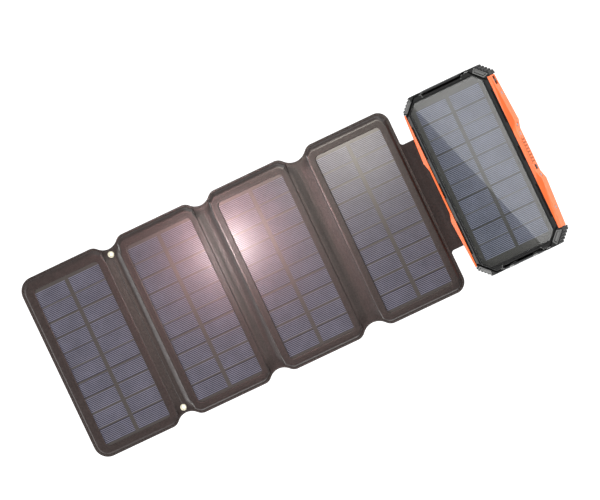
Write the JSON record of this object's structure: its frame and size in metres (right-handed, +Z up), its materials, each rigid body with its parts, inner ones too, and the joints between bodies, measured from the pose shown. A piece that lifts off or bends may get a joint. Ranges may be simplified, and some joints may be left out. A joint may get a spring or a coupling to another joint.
{
  "type": "folding solar power bank",
  "caption": "Power bank with a solar face and side grips, and a leather strip of solar panels that folds up and stows under it.",
  "frame": {"origin": "middle of the footprint, on the surface that the open charger lies on", "axes": "+X along the open strip towards the power bank, +Y towards the end with the sockets, +Z up out of the solar faces"},
  "size_m": [0.4416, 0.157, 0.021],
  "materials": {
    "back_leather": "fine grained, satin",
    "front_leather": "fine grained, satin",
    "stiff_board": "matt",
    "solar_laminate": "satin, over fine silver lines",
    "copper": "tinned flat copper",
    "fold_leather": "fine grained, satin",
    "flap_leather": "fine grained, satin",
    "brass": "polished",
    "rear_shell": "fine spark texture",
    "front_shell": "fine spark texture",
    "seal_rubber": "matt",
    "glass": "clear, polished",
    "bank_solar": "satin, over fine silver lines",
    "orange_grip": "satin moulded plastic",
    "guard_rubber": "matt",
    "end_rubber": "matt",
    "lens": "frosted",
    "screw_steel": "zinc plated",
    "socket_steel": "nickel plated",
    "circuit_board": "solder mask",
    "battery_foil": "foil pouch",
    "button_plastic": "satin"
  },
  "bodies": {
    "bank": {"flap_leather": "flap_leather", "rear_cover": "rear_shell", "clamp_plate": "rear_shell", "front_frame": "front_shell", "case_seal": "seal_rubber", "glass_cover": "glass", "bank_solar_laminate": "bank_solar", "left_side_grip": "orange_grip", "right_side_grip": "orange_grip", "corner_guard_upper_left": "guard_rubber", "corner_guard_upper_right": "guard_rubber", "corner_guard_lower_left": "guard_rubber", "corner_guard_lower_right": "guard_rubber", "torch_cap": "end_rubber", "torch_lens_left": "lens", "torch_lens_right": "lens", "status_lens": "lens", "left_screw_1": "screw_steel", "left_screw_2": "screw_steel", "left_screw_3": "screw_steel", "left_screw_4": "screw_steel", "right_screw_1": "screw_steel", "right_screw_2": "screw_steel", "right_screw_3": "screw_steel", "right_screw_4": "screw_steel", "clamp_screw_1": "screw_steel", "clamp_screw_2": "screw_steel", "usb_a_socket": "socket_steel", "usb_c_socket": "socket_steel", "micro_usb_socket": "socket_steel", "main_board": "circuit_board", "battery_cell_lower": "battery_foil", "battery_cell_upper": "battery_foil"},
    "panel_4": {"panel_4_back_leather": "back_leather", "panel_4_board": "stiff_board", "panel_4_solar_laminate": "solar_laminate", "panel_4_front_leather": "front_leather", "panel_4_lead_ribbon": "copper", "fold_34_leather": "fold_leather"},
    "panel_3": {"panel_3_back_leather": "back_leather", "panel_3_board": "stiff_board", "panel_3_solar_laminate": "solar_laminate", "panel_3_front_leather": "front_leather", "panel_3_lead_ribbon": "copper", "fold_23_leather": "fold_leather"},
    "panel_2": {"panel_2_back_leather": "back_leather", "panel_2_board": "stiff_board", "panel_2_solar_laminate": "solar_laminate", "panel_2_front_leather": "front_leather", "panel_2_lead_ribbon": "copper"},
    "fold_12": {"fold_12_leather": "fold_leather", "eyelet_upper": "brass", "eyelet_lower": "brass"},
    "panel_1": {"panel_1_back_leather": "back_leather", "panel_1_board": "stiff_board", "panel_1_solar_laminate": "solar_laminate", "panel_1_front_leather": "front_leather", "panel_1_lead_ribbon": "copper"},
    "port_door": {"port_cover": "end_rubber"},
    "button": {"power_button": "button_plastic"}
  },
  "joints": [
    {"name": "flap_fold", "type": "hinge", "parent": "bank", "child": "panel_4", "pos_m": [0.1289, 0, -0.0002], "axis": [0, -1, 0], "range_deg": [0, 180], "deforming": ["flap_leather"]},
    {"name": "fold_34", "type": "hinge", "parent": "panel_4", "child": "panel_3", "pos_m": [0.0361, 0, 0.0036], "axis": [0, 1, 0], "range_deg": [0, 180], "deforming": ["fold_34_leather"]},
    {"name": "fold_23", "type": "hinge", "parent": "panel_3", "child": "panel_2", "pos_m": [-0.0522, 0, -0.0002], "axis": [0, -1, 0], "range_deg": [0, 180], "deforming": ["fold_23_leather"]},
    {"name": "fold_12_inner", "type": "hinge", "parent": "panel_2", "child": "fold_12", "pos_m": [-0.1356, 0, 0.001], "axis": [0, 1, 0], "range_deg": [0, 90], "deforming": ["fold_12_leather"]},
    {"name": "fold_12_outer", "type": "hinge", "parent": "fold_12", "child": "panel_1", "pos_m": [-0.1408, 0, 0.001], "axis": [0, 1, 0], "range_deg": [0, 90], "deforming": ["fold_12_leather"]},
    {"name": "port_door_hinge", "type": "hinge", "parent": "bank", "child": "port_door", "pos_m": [0.1788, 0.0785, 0.0045], "axis": [-1, 0, 0], "range_deg": [0, 100]},
    {"name": "button_press", "type": "slide", "parent": "bank", "child": "button", "axis": [-1, 0, 0], "range_m": [0, 0.0006], "stiffness_N_per_m": 1500, "springref_m": -0.0002}
  ],
  "couplings": [
    {"joint": "fold_23", "follows": "fold_34", "ratio": 1},
    {"joint": "fold_12_outer", "follows": "fold_12_inner", "ratio": 1}
  ]
}
